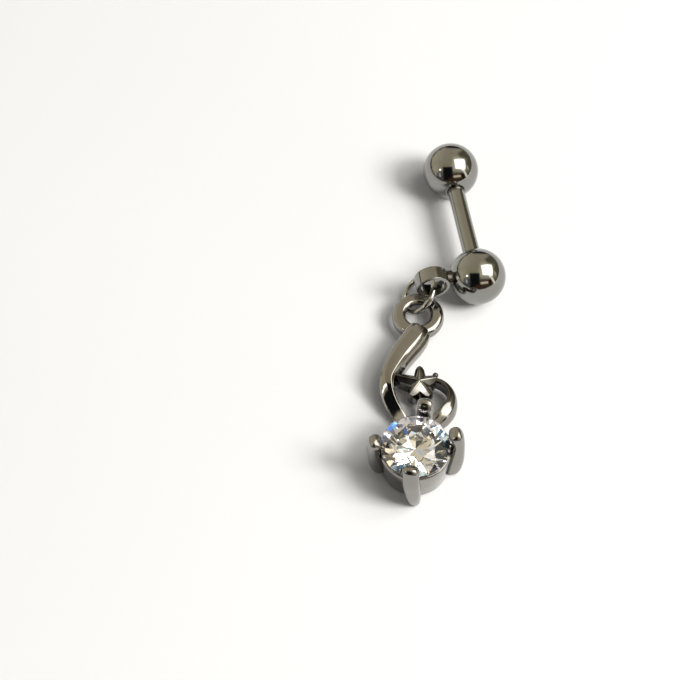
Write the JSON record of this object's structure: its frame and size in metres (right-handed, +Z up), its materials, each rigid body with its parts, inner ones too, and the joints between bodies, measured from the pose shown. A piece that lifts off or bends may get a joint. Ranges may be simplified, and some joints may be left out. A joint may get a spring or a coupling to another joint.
{
  "type": "helix stud",
  "caption": "Straight ear barbell with round balls; a bail on one ball and a wire ring carry a scroll and star charm that ends in a clear round stone in prongs.",
  "frame": {"origin": "on the surface that the stud lies on, under the middle of its box", "axes": "+Y along the post from the front ball to the back ball, +Z up from the surface, +X to the side away from the bail"},
  "size_m": [0.0124, 0.0285, 0.0044],
  "materials": {
    "polished_steel": "mirror polish",
    "steel_wire": "bright drawn wire",
    "cast_metal": "polished casting",
    "clear_stone": "faceted, clear"
  },
  "bodies": {
    "stud": {"post": "polished_steel", "front_ball": "polished_steel", "jump_ring": "steel_wire", "charm": "cast_metal", "stone": "clear_stone"},
    "back_ball": {"back_ball": "polished_steel"}
  },
  "joints": [
    {"name": "ball_unscrew", "type": "slide", "parent": "stud", "child": "back_ball", "axis": [0, 1, 0], "range_m": [0, 0.012]}
  ]
}
